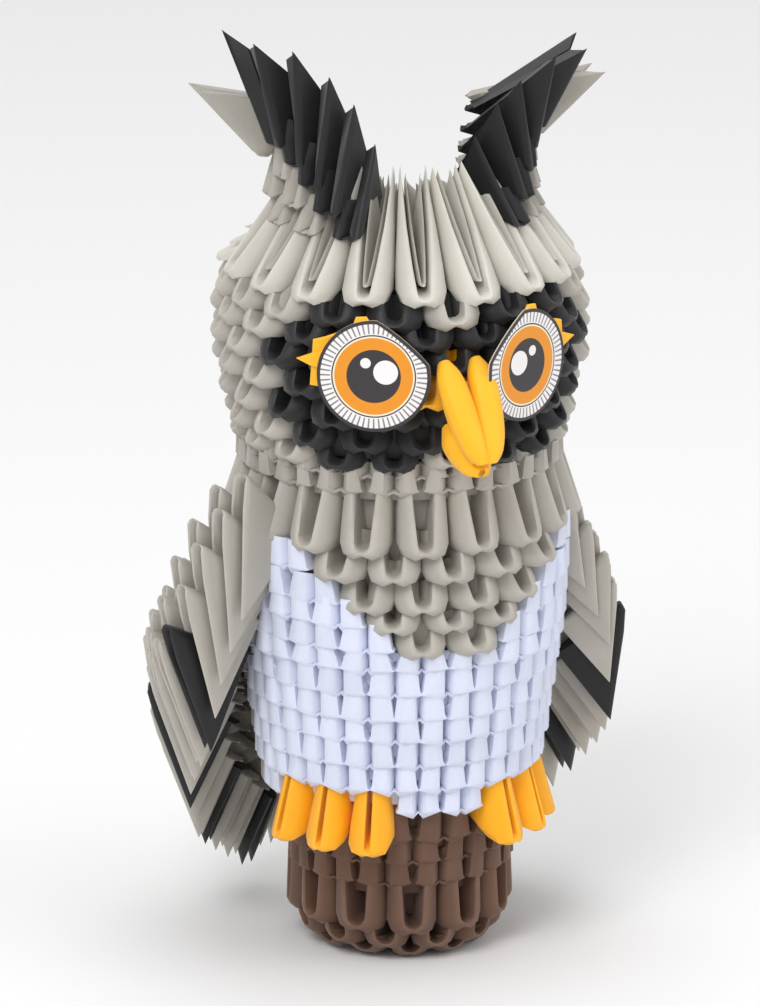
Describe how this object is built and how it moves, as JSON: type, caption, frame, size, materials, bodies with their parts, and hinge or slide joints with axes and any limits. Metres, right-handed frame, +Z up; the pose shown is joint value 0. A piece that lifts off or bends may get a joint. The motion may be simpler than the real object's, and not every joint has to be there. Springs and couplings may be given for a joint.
{
  "type": "folded paper owl figure",
  "caption": "Standing owl made of stacked rings of folded paper triangles, with ear tufts, cape wings, disc eyes, beak and toes.",
  "frame": {"origin": "on the surface the owl stands on, at the common axis of the rings", "axes": "+Z up along the ring axis, the owl faces -Y, +X is the owl's left-hand side"},
  "size_m": [0.1346, 0.1254, 0.2341],
  "materials": {
    "brown_paper": "matte",
    "orange_paper": "matte",
    "yellow_paper": "matte",
    "white_paper": "matte",
    "grey_paper": "matte",
    "pale_grey_paper": "matte",
    "black_paper": "matte",
    "printed_card": "satin"
  },
  "bodies": {
    "root": {"back_lower": "grey_paper", "back_upper": "grey_paper", "base_five": "brown_paper", "base_four": "brown_paper", "base_one": "brown_paper", "base_six": "brown_paper", "base_three": "brown_paper", "base_two": "brown_paper", "beak_lower": "yellow_paper", "beak_upper": "yellow_paper", "belly_five": "white_paper", "belly_four": "white_paper", "belly_one": "white_paper", "belly_seven": "white_paper", "belly_six": "white_paper", "belly_three": "white_paper", "belly_two": "white_paper", "cheeks": "yellow_paper", "chest_four": "grey_paper", "chest_one": "grey_paper", "chest_three": "grey_paper", "chest_two": "grey_paper", "collar": "grey_paper", "crown": "pale_grey_paper", "ear_left_black": "black_paper", "ear_left_grey": "grey_paper", "ear_right_black": "black_paper", "ear_right_grey": "grey_paper", "eye_left": "printed_card", "eye_pad_left": "yellow_paper", "eye_pad_right": "yellow_paper", "eye_right": "printed_card", "foot_left": "orange_paper", "foot_right": "orange_paper", "hood_five": "grey_paper", "hood_four": "grey_paper", "hood_one": "grey_paper", "hood_seven": "grey_paper", "hood_six": "grey_paper", "hood_three": "grey_paper", "hood_two": "grey_paper", "mask_five": "black_paper", "mask_four": "black_paper", "mask_one": "black_paper", "mask_seven": "black_paper", "mask_six": "black_paper", "mask_three": "black_paper", "mask_two": "black_paper", "neck_one": "grey_paper", "neck_two": "grey_paper", "shoulder_four": "white_paper", "shoulder_one": "white_paper", "shoulder_three": "white_paper", "shoulder_two": "white_paper", "wing_left_black": "black_paper", "wing_left_grey": "grey_paper", "wing_right_black": "black_paper", "wing_right_grey": "grey_paper"}
  },
  "joints": []
}
